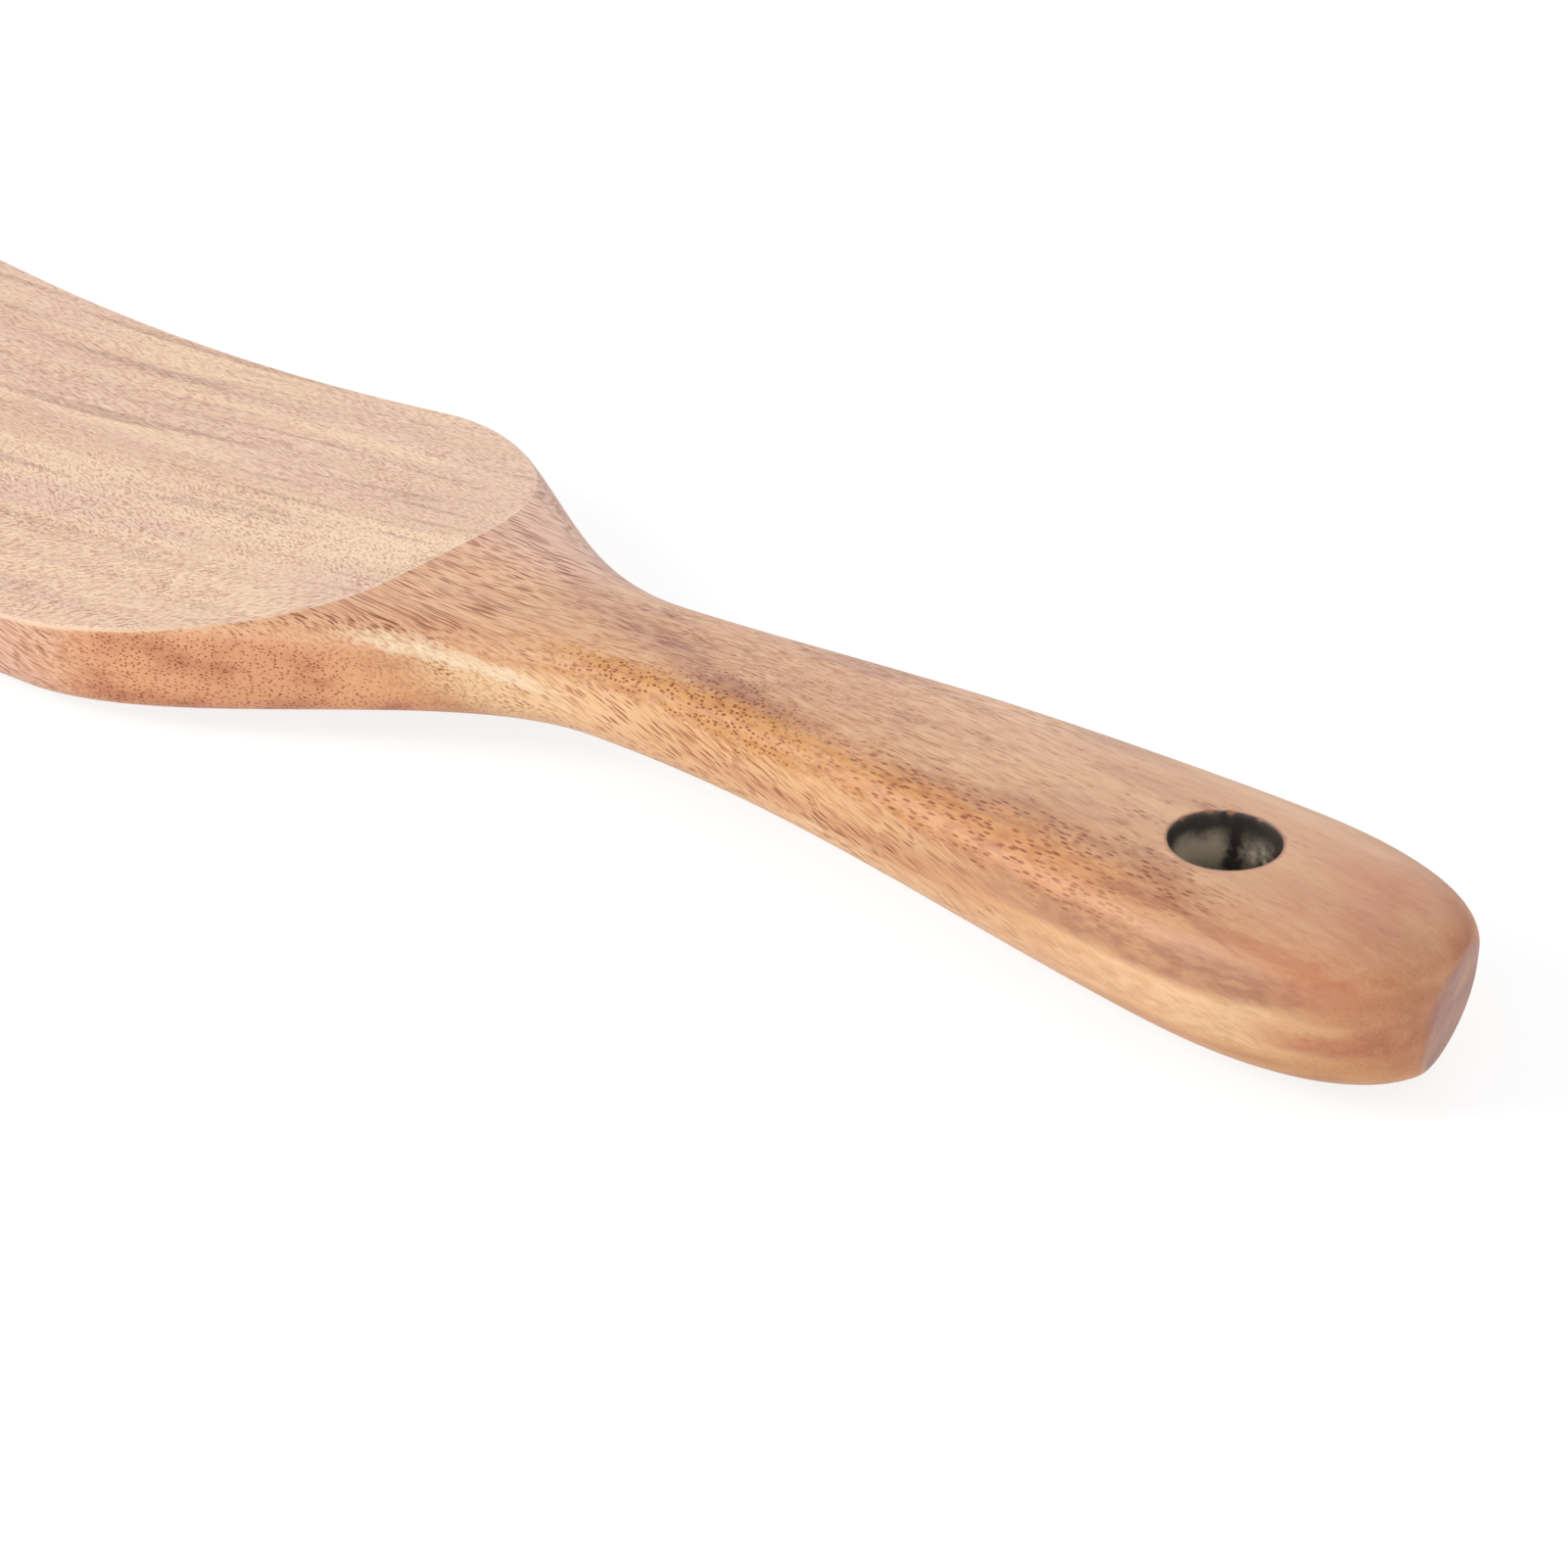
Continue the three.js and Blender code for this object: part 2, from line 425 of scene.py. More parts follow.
def body_mesh():
    """Skin of the body without its hole, kept inside the solid's box.

    Each end narrows to an upright line, where the weld closes it.
    """
    ring_x, ring_y, ring_z, is_face, on_edge = half_rings()
    half = np.stack([ring_x, ring_y, ring_z], axis=2)
    other = half[:, -2:0:-1] * np.array([1, -1, 1])
    rings = np.concatenate([half, other], axis=1)
    points, flat_edge = cut_end_flat(rings.reshape(-1, 3))
    inside = np.clip(packed(points), np.array(cad_low), np.array(cad_high))
    mesh = mesh_from(PIECE, inside, ring_faces(len(rings), rings.shape[1]))
    marks = {FACE_MARK: mirrored(is_face), EDGE_HIGHLIGHT_MARK: np.maximum(mirrored(on_edge), flat_edge)}
    for name, values in marks.items():
        attribute = mesh.attributes.new(name, "FLOAT", "POINT")
        attribute.data.foreach_set("value", values.astype(np.float32))
    close_mesh(mesh)
    return mesh


def rim_rings(turn, surface, way, nicks):
    """Rings of the hole's wall, inwards from one of the wood's surfaces, with its rim eased and nicked."""
    rings = []
    for depth in RIM_DEPTHS:
        flare = RIM_ROUNDING * math.exp(-max(depth, -RIM_FLARE_STOP) / RIM_ROUNDING)
        chips = RIM_CHIPS * nicks * math.exp(-max(depth, 0) / RIM_CHIPS_FADE)
        wall = HOLE_RADIUS + flare + chips
        ring_x = HOLE + wall * np.cos(turn)
        ring_y = wall * np.sin(turn)
        rings.append(np.stack([ring_x, ring_y, surface + way * depth], axis=1))
    return rings


def hole_mesh():
    """Cutter for the hanging hole, whose rings follow the wood's surfaces, so that both rims are eased."""
    turn = np.linspace(0, 2 * np.pi, HOLE_SIDES, endpoint=False)
    edge_x = HOLE + HOLE_RADIUS * np.cos(turn)
    edge_y = HOLE_RADIUS * np.sin(turn)
    torn = np.clip(np.cos(turn - RIM_TORN), 0, 1) ** 2
    nicks = torn * sum(depth * np.sin(count * turn + start) for count, depth, start in RIM_NICKS)
    upper = rim_rings(turn, top_height(edge_x, edge_y), -1, nicks)
    lower = rim_rings(turn, belly_height(edge_x, edge_y), 1, np.zeros_like(turn))
    rings = upper + lower[::-1]
    points = np.concatenate(rings)
    first_cap = tuple(range(HOLE_SIDES))
    last_cap = tuple(range(len(points) - 1, len(points) - HOLE_SIDES - 1, -1))
    faces = ring_faces(len(rings), HOLE_SIDES) + [first_cap, last_cap]
    mesh = mesh_from("hole_cutter", packed(points), faces)
    close_mesh(mesh)
    return mesh


def add_object(data):
    """Object of a mesh, camera or lamp, in the scene."""
    obj = bpy.data.objects.new(data.name, data)
    bpy.context.scene.collection.objects.link(obj)
    return obj


def build_body():
    """The whole body with its hole drilled, smooth apart from the rims."""
    body = add_object(body_mesh())
    cutter = add_object(hole_mesh())
    drill = body.modifiers.new("drill", "BOOLEAN")
    drill.operation = "DIFFERENCE"
    drill.solver = "EXACT"
    drill.object = cutter
    graph = bpy.context.evaluated_depsgraph_get()
    drilled = bpy.data.meshes.new_from_object(body.evaluated_get(graph))
    body.modifiers.clear()
    body.data = drilled
    drilled.name = PIECE
    bpy.data.objects.remove(cutter)
    drilled.polygons.foreach_set("use_smooth", [True] * len(drilled.polygons))
    drilled.set_sharp_from_angle(angle=SHARP_ANGLE)
    return body


class Nodes:
    """Short ways to add linked nodes to one node tree. A socket or a plain value goes into any input."""

    def __init__(self, tree):
        self.tree = tree
        tree.nodes.clear()

    def node(self, kind, inputs, **settings):
        """New node with these inputs and settings."""
        node = self.tree.nodes.new(kind)
        for name, value in settings.items():
            setattr(node, name, value)
        for key, value in inputs.items():
            socket = node.inputs[key]
            if isinstance(value, bpy.types.NodeSocket):
                self.tree.links.new(value, socket)
            else:
                socket.default_value = value
        return node

    def add(self, kind, inputs, output=0, **settings):
        """One output of a new node."""
        return self.node(kind, inputs, **settings).outputs[output]

    def maths(self, operation, a, b=0.0):
        return self.add("ShaderNodeMath", {0: a, 1: b}, operation=operation)

    def chained(self, operation, first, *others):
        """One operation over all the values in turn."""
        result = first
        for other in others:
            result = self.maths(operation, result, other)
        return result

    def plus(self, *values):
        return self.chained("ADD", *values)

    def times(self, *values):
        return self.chained("MULTIPLY", *values)

    def largest(self, *values):
        return self.chained("MAXIMUM", *values)

    def vector(self, operation, a, b=(0, 0, 0)):
        return self.add("ShaderNodeVectorMath", {0: a, 1: b}, operation=operation)

    def dot(self, a, b):
        return self.add("ShaderNodeVectorMath", {0: a, 1: b}, "Value", operation="DOT_PRODUCT")

    def parts(self, value):
        """The three parts of a vector or colour."""
        return self.node("ShaderNodeSeparateXYZ", {0: value}).outputs[:]

    def spread(self, value, low, high, to_low=0.0, to_high=1.0):
        """Smooth step from to_low at low to to_high at high."""
        inputs = {"Value": value, "From Min": low, "From Max": high, "To Min": to_low, "To Max": to_high}
        return self.add("ShaderNodeMapRange", inputs, interpolation_type="SMOOTHSTEP")

    def blend(self, share, a, b):
        """Value that goes smoothly from a where share is 0 to b where it is 1."""
        return self.spread(share, 0, 1, a, b)

    def band(self, value, start, full, last, end):
        """Rises from 0 at start to 1 at full, and falls from 1 at last to 0 at end."""
        return self.times(self.spread(value, start, full), self.spread(value, last, end, 1, 0))

    def mix(self, factor, a, b, kind="MIX"):
        """Colour a with b laid over it by this factor."""
        inputs = {0: factor, 6: a, 7: b}
        return self.add("ShaderNodeMix", inputs, 2, data_type="RGBA", blend_type=kind)

    def scaled(self, place, lengths):
        """Place counted in these lengths along X, Y and Z."""
        return self.vector("DIVIDE", place, lengths)

    def noise(self, place, lengths, detail=2.0, output="Fac"):
        """Noise from 0 to 1 whose lumps have these lengths."""
        inputs = {"Vector": self.scaled(place, lengths), "Scale": 1.0, "Detail": detail}
        return self.add("ShaderNodeTexNoise", inputs, output)

    def wander(self, place, lengths, reach):
        """Offset of up to half the reach, which changes over these lengths."""
        noise = self.noise(place, lengths, detail=1.0, output="Color")
        return self.vector("MULTIPLY", self.vector("SUBTRACT", noise, (0.5, 0.5, 0.5)), reach)

    def pores(self, place, lengths, core, rim):
        """Scattered pores of these lengths, 1 inside their core and 0 past their rim. Some are fainter."""
        cell = self.node("ShaderNodeTexVoronoi", {"Vector": self.scaled(place, lengths), "Scale": 1.0})
        number, _, _ = self.parts(cell.outputs["Color"])
        inside = self.spread(cell.outputs["Distance"], core, rim, 1, 0)
        return self.times(inside, self.spread(number, 0, FAINT_PORES))

    def slanted(self, place, slope):
        """Place in which lines along X run at this slope towards Y."""
        along, _, _ = self.parts(place)
        return self.vector("ADD", place, self.add("ShaderNodeCombineXYZ", {1: self.times(along, -slope)}))

    def surface(self, shader, kind="ShaderNodeOutputMaterial"):
        self.node(kind, {"Surface": shader})


def rgb(red, green, blue):
    """Colour from 8-bit sRGB values, as the linear value that a socket takes."""
    parts = np.array([red, green, blue]) / 255
    linear = np.where(parts <= 0.04045, parts / 12.92, ((parts + 0.055) / 1.055) ** 2.4)
    return (*linear.tolist(), 1.0)


# Colours of the oiled wood, then of the face, whose paleness is partly dry sanding and partly painted
# sheen, then of the hole.
TOP_LIGHT = rgb(232, 183, 142)
TOP_DEEP = rgb(218, 164, 123)
TOP_PATCH = rgb(188, 134, 106)
TOP_STREAK = rgb(200, 144, 118)
SIDE_LIGHT = rgb(232, 181, 132)
SIDE_DEEP = rgb(212, 155, 113)
SIDE_STREAK = rgb(180, 118, 90)
END_LIGHT = rgb(248, 184, 136)
END_DEEP = rgb(195, 116, 84)
GOLDEN = rgb(216, 154, 86)
GOLDEN_END = rgb(222, 157, 102)
FLAME = rgb(190, 132, 92)
# Painted light: a pale highlight on the neck's near side and low on the handle, then a bright highlight
# along the neck's ridge.
PALE_HIGHLIGHT = rgb(252, 212, 166)
RIDGE_HIGHLIGHT = rgb(255, 228, 192)
NEAR_LINE = rgb(246, 192, 152)
# Cool tint: colour of the shoulder's wall, and a painted sheen on the neck's far side.
COOL_TINT_AND_SHEEN = rgb(228, 188, 174)
BUTT_RED = rgb(202, 128, 92)
BUTT_VIOLET = rgb(172, 126, 126)
BUTT_MOTTLE = rgb(172, 118, 94)
FIBRE_LIGHT = rgb(255, 230, 200)
# Face colours: pale partly as painted sheen.
FACE_WARM = rgb(250, 215, 179)
FACE_COOL = rgb(236, 197, 174)
FACE_BAND = rgb(229, 189, 161)
FACE_STREAK = rgb(198, 156, 134)
# Pale of eased edges: partly wear, partly a painted highlight.
WORN_EDGE_HIGHLIGHT = rgb(246, 216, 188)
# Hole's wall: bare wood where painted light falls, and black both as scorch and as painted shade.
HOLE_BARE_AND_LIT = rgb(255, 236, 206)
HOLE_CHAR_AND_SHADE = rgb(56, 48, 45)
RIM_SCORCH = rgb(116, 64, 46)

# Shades that darken what lies under them: pores and dashes of the oiled wood and of the face, and a vein.
PORE_SHADE = rgb(184, 140, 116)
LINE_SHADE = rgb(170, 120, 92)
DOT_SHADE = rgb(164, 100, 66)
DASH_SHADE = rgb(210, 178, 156)
FACE_PORE_SHADE = rgb(220, 204, 197)
FACE_DASH_SHADE = rgb(214, 193, 184)
VEIN_SHADE = rgb(216, 200, 202)

# Lengths along, across and up of the figures in the oiled wood, then in the face and in the hole.
TONE_SIZE = (50, 8, 8)
CLOUD_SIZE = (26, 7, 7)
PATCH_SIZE = (14, 4, 4)
STREAK_SIZE = (8, 1.3, 1.3)
LAYER_SIZE = (55, 6, 3.4)
FRAY_SIZE = (5, 0.9, 0.9)
# Frayed border of the painted highlight along the neck's ridge.
RIDGE_HIGHLIGHT_FRAY_SIZE = (2.6, 0.4, 0.4)
VEIN_FRAY_SIZE = (2.6, 0.5, 0.5)
BUTT_STREAK_SIZE = (14, 3, 1.8)
BUTT_FUZZ_SIZE = (2.4, 0.8, 0.8)
BLUSH_SIZE = (12, 6, 4)
FLAT_MOTTLE_SIZE = (6, 2.5, 2.5)
FACE_TONE_SIZE = (50, 6, 8)
FACE_BAND_SIZE = (190, 3.8, 9)
FACE_STREAK_SIZE = (45, 1.5, 4)
HOLE_SPECK_SIZE = (0.9, 0.9, 1.0)
HOLE_CLOUD_SIZE = (3.5, 3.5, 4)

# The same of the dashes, and of the open pores.
TOP_DASH = (3, 0.28, 0.28)
SIDE_DASH = (1.6, 0.28, 0.28)
NEAR_DASH = (0.8, 0.26, 0.26)
MIDDLE_DASH = (0.9, 0.26, 0.26)
FAR_DASH = (1.2, 0.25, 0.25)
PORE_CLUSTER = (13, 4, 4)
TOP_PORE = (2.0, 0.28, 0.28)
CUT_PORE = (1.2, 0.27, 0.27)
LINE_PORE = (14, 0.22, 0.22)
SOFT_DOT = (1.7, 0.8, 0.8)
NECK_DOT = (0.62, 0.35, 0.35)
HANDLE_DOT = (1.25, 0.34, 0.34)
WALL_DOT = (0.55, 0.27, 0.27)
FAINT_PORES = 0.4  # share of the pores that are fainter than the rest

# How the fibres run: slow wander of the whole board, small waves, and the shift of neighbours along X.
BOARD_WANDER_SIZE = (75, 30, 30)
BOARD_WANDER = (0, 6, 5)
WAVE_SIZE = (5, 4, 4)
WAVE = (0, 2.2, 0.3)
OILED_WAVE = 0.45  # share of the waves that is left outside the face
STAGGER = (0, 2.3, 1.7)
SIDE_PITCH = 0.28  # rise of the fibres along the sides
FACE_PITCH = (0.14, -0.02)  # and under the face, from its near edge to the far one
NEAR_SLANT = 0.7  # of the face's strokes by its near edge
MIDDLE_SLANT = -0.4  # and in its middle

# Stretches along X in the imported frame: where a figure starts, is full, is last full, and ends.
WALL_TINT_STRETCH = (-60, -36, -28, -12)
LINE_STRETCH = (-15, -7, 13, 21)
RIDGE_HIGHLIGHT_STRETCH = (0, 8, 18, 28)
# Stretch of the painted highlight along the neck's ridge.
VEIN_STRETCH = (8, 20, 36, 50)
GOLDEN_STRETCH = (16, 30, 82, 104)
FLAME_STRETCH = (26, 42, 94, 108)
TAIL_STRETCH = (86, 94, 103, 113)

# Layers along the handle's side and round its end: colour, strength, and stretches of height and of X. The
# pale and golden layers low down are painted bounce light from the floor.
BUTT_LAYERS = (
    (PALE_HIGHLIGHT, 0.45, (2, 4, 8, 9.5), (44, 58, 80, 96)),
    (PALE_HIGHLIGHT, 0.6, (4.5, 6.5, 9.5, 11.5), (78, 98, 108, 118)),
    (BUTT_MOTTLE, 0.78, (9.5, 11, 12.5, 14), (56, 98, 110, 117)),
    (GOLDEN, 0.35, (-2, -1, 5, 7), (100, 110, 120, 125)),
    (BUTT_RED, 0.75, (6, 7.2, 8, 9.5), (105, 113, 120, 125)),
    (BUTT_RED, 0.8, (12.5, 13.8, 16, 18), (106, 115, 120, 125)),
)

# Lighter patches of the hole's wall, bare wood with painted light on it: their direction from its axis,
# half their width, and their strength.
LIT_BARE_PATCHES = (
    (math.radians(158), math.radians(46), 1.3),
    (math.radians(84), math.radians(36), 0.3),
)

# Widths past the hole's radius over which its burnt rim and its black wall fade out.
RIM_SCORCHED = (0.2, 0.6)
# Black wall: scorch and painted shade.
WALL_CHAR_AND_SHADE = (0.1, 0.25)

# Courses of single figures and of the neck's painted ridge highlight, and the direction that the surface
# faces where the top rolls over.
ROLL_OVER = (0, -0.72, 0.69)
RIDGE_HIGHLIGHT_FALL = (0.15, 0, 1)
VEIN_SLOPE = 0.33
VEIN_START = -8.8
TAIL_ACROSS = -11

# Finish of the whole surface.
ROUGHNESS = 0.46
SPECULAR = 0.4
BUMP_STRENGTH = 0.5
BUMP_DEPTH = 0.06
DASH_HEIGHT = 0.4
# Strength of that pale on eased edges, partly painted highlight.
WORN_EDGE_HIGHLIGHT_STRENGTH = 0.5


class WoodPlaces:
    """What the wood's colours depend on: where a point lies in the board, and which way it faces.

    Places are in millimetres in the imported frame, and zones of colour run from 0 to 1.
    """

    def __init__(self, n):
        self.face = n.add("ShaderNodeAttribute", {}, "Fac", attribute_name=FACE_MARK)
        self.edge = n.add("ShaderNodeAttribute", {}, "Fac", attribute_name=EDGE_HIGHLIGHT_MARK)
        metres = n.add("ShaderNodeTexCoord", {}, "Object")
        self.place = n.vector("MULTIPLY", metres, (1 / MM, 1 / MM, 1 / MM))
        self.along, self.across, self.up = n.parts(self.place)
        self.normal = n.add("ShaderNodeNewGeometry", {}, "Normal")
        self.facing_x, self.facing_y, self.facing_z = n.parts(self.normal)
        self.board = n.vector("ADD", self.place, n.wander(self.place, BOARD_WANDER_SIZE, BOARD_WANDER))
        self.find_fibres(n)

        # Lumps of tone, slow and quicker, and the frayed borders of zones.
        self.cloud = n.plus(n.noise(self.board, CLOUD_SIZE), -0.5)
        self.patch = n.noise(self.board, PATCH_SIZE, detail=3.0)
        self.ragged = n.plus(n.noise(self.fibre, FRAY_SIZE), -0.5)

        self.find_zones(n)
        self.find_neck_zones(n)

    def find_fibres(self, n):
        """Places along the fibres.

        grain is as the top cuts them, fibre is where they rise through the sides and the face, and woven
        is fibre without the shift of neighbours.
        """
        wave = n.wander(self.place, WAVE_SIZE, WAVE)
        strength = n.blend(self.face, OILED_WAVE, 1)
        wave = n.add("ShaderNodeVectorMath", {0: wave, "Scale": strength}, operation="SCALE")
        wavy = n.vector("ADD", self.board, wave)
        stagger = n.add("ShaderNodeCombineXYZ", {0: n.dot(self.board, STAGGER)})
        pitch = n.blend(self.face, SIDE_PITCH, n.spread(self.across, -12, 16, *FACE_PITCH))
        lift = n.add("ShaderNodeCombineXYZ", {2: n.times(self.along, pitch)})
        self.grain = n.vector("ADD", wavy, stagger)
        self.fibre = n.vector("ADD", self.grain, lift)
        self.woven = n.vector("ADD", wavy, lift)

    def find_zones(self, n):
        """Zones of the whole body, and where its top rolls over to the near side."""
        self.end_grain = n.spread(n.maths("ABSOLUTE", self.facing_x), 0.2, 0.85)
        self.side = n.spread(self.facing_z, 0.1, 0.6, 1, 0)
        self.beside_line = n.times(n.band(self.along, *LINE_STRETCH), n.spread(self.facing_z, 0.75, 0.92))
        self.far = n.spread(self.across, -14, 8, 0.5, 1)

        # The roll-over is golden, with a darker flame above it.
        roll = n.plus(n.dot(self.normal, ROLL_OVER), n.times(self.cloud, 0.3), n.times(self.ragged, 0.35))
        self.golden = n.times(n.spread(roll, 0.8, 0.97), n.band(self.along, *GOLDEN_STRETCH))
        above = n.times(n.band(roll, 0.66, 0.8, 0.86, 0.97), n.spread(self.facing_z, 0.6, 0.72))
        self.flame = n.times(above, n.band(self.along, *FLAME_STRETCH))
        self.bold = n.largest(self.flame, self.golden)
        self.worn = n.largest(n.spread(self.along, 60, 92, 1, 0.2), n.times(self.bold, 0.9))

    def find_neck_zones(self, n):
        """Near side of the neck: a painted highlight along its ridge falls to a pale patch of painted
        highlight, beside a red wall.
        """
        near_side = n.spread(self.facing_y, -0.5, -0.2, 1, 0)
        # Painted highlights: a band where the top turns down to the near side, and a pale patch on that
        # side past it.
        course = n.plus(n.dot(self.place, RIDGE_HIGHLIGHT_FALL), n.times(self.ragged, 1.2))
        ridge_highlight = n.times(n.band(course, 11.5, 12.7, 13, 14.1), near_side)
        self.ridge_highlight = n.times(ridge_highlight, n.band(self.along, *RIDGE_HIGHLIGHT_STRETCH))
        slant = n.plus(self.along, n.times(self.up, 1.2))
        pale_highlight = n.times(near_side, n.spread(self.facing_z, 0, 0.4, 1, 0), n.spread(slant, 18.5, 25))
        self.pale_highlight = n.times(pale_highlight, n.spread(self.along, 16, 44, 1, 0))
        self.wall = n.times(self.side, n.spread(self.along, -28, -15), n.spread(slant, 12, 22, 1, 0))
        self.red_wall = n.times(self.wall, n.spread(self.along, -4, 6, 1, 0))


def top_colour(n, at):
    """Salmon top: patches and streaks, lighter by the face's edge, with a cool painted sheen on the neck's
    far side.
    """
    tone = n.spread(n.noise(at.board, TONE_SIZE), 0.35, 0.65)
    colour = n.mix(tone, TOP_LIGHT, TOP_DEEP)
    patchy = n.times(n.spread(at.along, 4, 30, 0.36, 0.7), n.spread(at.along, 60, 85, 1, 0.6))
    colour = n.mix(n.spread(at.patch, 0.48, 0.68, 0, patchy), colour, TOP_PATCH)
    streak = n.noise(at.grain, STREAK_SIZE, detail=3.0)
    streaked = n.spread(streak, 0.45, 0.68, 0, n.spread(at.along, 30, 100, 0.12, 0.34))
    colour = n.mix(streaked, colour, TOP_STREAK)
    colour = n.mix(n.spread(at.along, 6, 22, 0.6, 0), colour, NEAR_LINE)
    # Painted sheen: a cool, lighter tint on the neck's far side.
    far_neck_sheen = n.times(n.spread(at.across, 0, 9), n.spread(at.along, 12, 32, 0.6, 0))
    return n.mix(far_neck_sheen, colour, COOL_TINT_AND_SHEEN)


def add_sides(n, at, colour):
    """Sides in peach layers, cooler on the wall beside the shoulder."""
    layer = n.plus(n.noise(at.board, LAYER_SIZE), n.spread(at.along, -40, -10, 0.12, 0))
    peach = n.mix(n.spread(layer, 0.36, 0.64), SIDE_LIGHT, SIDE_DEEP)
    colour = n.mix(at.side, colour, peach)
    return n.mix(n.times(at.side, n.band(at.along, *WALL_TINT_STRETCH), 0.55), colour, COOL_TINT_AND_SHEEN)


def add_roll_over(n, at, colour):
    """Golden roll-over to the near side, under a brown flame."""
    flamed = n.spread(at.patch, 0.4, 0.6, 0.1, n.spread(at.along, 70, 95, 0.35, 0.7))
    colour = n.mix(n.times(at.flame, flamed), colour, FLAME)
    golden = n.mix(n.spread(at.along, 50, 80), GOLDEN, GOLDEN_END)
    return n.mix(n.times(at.golden, 0.85), colour, golden)


def add_neck_side(n, at, colour):
    """End grain, the shoulder's red wall, and the neck's painted highlights: its pale patch and bright
    ridge.
    """
    colour = n.mix(n.times(at.end_grain, n.spread(at.along, -80, 0, 0.4, 0.8)), colour, END_LIGHT)
    redder = n.times(at.red_wall, n.spread(at.patch, 0.34, 0.66, 0.2, 0.85))
    red = n.largest(n.spread(at.patch, 0.46, 0.74), redder)
    colour = n.mix(n.times(at.wall, 0.85), colour, n.mix(red, END_LIGHT, END_DEEP))
    # Painted highlights on the neck's near side: a pale patch, then a bright ridge frayed along the
    # fibres.
    colour = n.mix(n.times(at.pale_highlight, 0.8), colour, PALE_HIGHLIGHT)
    frayed = n.spread(n.noise(at.fibre, RIDGE_HIGHLIGHT_FRAY_SIZE), 0.34, 0.56, 0.6, 1)
    return n.mix(n.times(at.ridge_highlight, frayed), colour, RIDGE_HIGHLIGHT)


def add_vein(n, at, colour):
    """Dark vein that crosses the neck's top from its far side to the near one."""
    course = n.plus(at.across, n.times(at.along, VEIN_SLOPE), VEIN_START, n.times(at.cloud, 5))
    stretch = n.times(n.band(at.along, *VEIN_STRETCH), n.spread(at.facing_z, 0.5, 0.8))
    torn = n.spread(n.noise(at.grain, VEIN_FRAY_SIZE), 0.36, 0.6, 0.45, 1.1)
    dark = n.spread(n.maths("ABSOLUTE", course), 0.4, 3.2, 0.8, 0)
    return n.mix(n.times(dark, stretch, torn), colour, VEIN_SHADE, "MULTIPLY")


def add_butt(n, at, colour):
    """End of the handle: streaks and layers of red, brown and gold along the board, pale and golden layers
    low down painted as bounce light, and a violet flat.
    """
    streak = n.spread(n.noise(at.board, BUTT_STREAK_SIZE, detail=1.0), 0.42, 0.7)
    colour = n.mix(n.times(streak, at.side, n.spread(at.along, 66, 96, 0, 0.45)), colour, SIDE_STREAK)
    height = n.plus(at.up, n.times(at.cloud, 3))
    fuzzy = n.spread(n.noise(at.board, BUTT_FUZZ_SIZE, detail=3.0), 0.36, 0.62, 0.5, 1.1)
    off_top = n.spread(at.facing_z, 0.5, 0.95, 1, 0.3)
    # The pale and golden layers low on the side and end are painted bounce light, lighter low down.
    for layer_colour, strength, heights, stretch in BUTT_LAYERS:
        layer = n.times(n.band(height, *heights), n.band(at.along, *stretch), fuzzy, strength)
        colour = n.mix(n.times(layer, off_top), colour, layer_colour)

    # A dark tail of the flame, and a red blush over the end.
    beside_tail = n.plus(at.across, n.times(at.ragged, 3), -TAIL_ACROSS)
    tail = n.times(n.band(beside_tail, -1.2, -0.2, 0.2, 1.2), n.band(at.along, *TAIL_STRETCH))
    colour = n.mix(n.times(tail, n.spread(at.facing_z, 0.6, 0.8, 0, 0.6)), colour, SIDE_STREAK)
    blush = n.spread(n.noise(at.place, BLUSH_SIZE), 0.36, 0.64, 0.25, 0.8)
    nearness = n.spread(n.plus(at.along, n.times(at.facing_z, 10)), 107, 123)
    colour = n.mix(n.times(blush, nearness), colour, BUTT_RED)

    mottle = n.spread(n.noise(at.place, FLAT_MOTTLE_SIZE), 0.35, 0.65, 0.4, 0.7)
    flat = n.spread(n.dot(at.normal, tuple(flat_direction())), 0.9, 0.995, 0, mottle)
    return n.mix(n.times(flat, n.spread(at.along, 100, 110)), colour, BUTT_VIOLET)


def face_colour(n, at):
    """The sanded face is drier and paler, its paleness partly a painted sheen, with tan and violet-grey
    bands along the board.
    """
    tone = n.spread(n.noise(at.board, FACE_TONE_SIZE), 0.36, 0.64)
    band = n.noise(at.board, FACE_BAND_SIZE, detail=1.0)
    streak = n.noise(at.board, FACE_STREAK_SIZE)
    colour = n.mix(tone, FACE_WARM, FACE_COOL)
    colour = n.mix(n.times(at.far, n.spread(band, 0.42, 0.6, 0, 0.65)), colour, FACE_BAND)
    return n.mix(n.times(at.far, n.spread(streak, 0.54, 0.7, 0, 0.7)), colour, FACE_STREAK)


def face_dashes(n, at):
    """Strokes of the face: slanted by its near edge and in its middle, and along the fibres past that."""
    near = n.noise(n.slanted(at.woven, NEAR_SLANT), NEAR_DASH, detail=1.0)
    middle = n.noise(n.slanted(at.woven, MIDDLE_SLANT), MIDDLE_DASH, detail=1.0)
    far = n.noise(at.fibre, FAR_DASH, detail=1.0)
    weave = n.plus(at.across, n.times(at.cloud, 16))
    return n.spread(weave, -12, -6, near, n.spread(weave, 2, 9, middle, far))


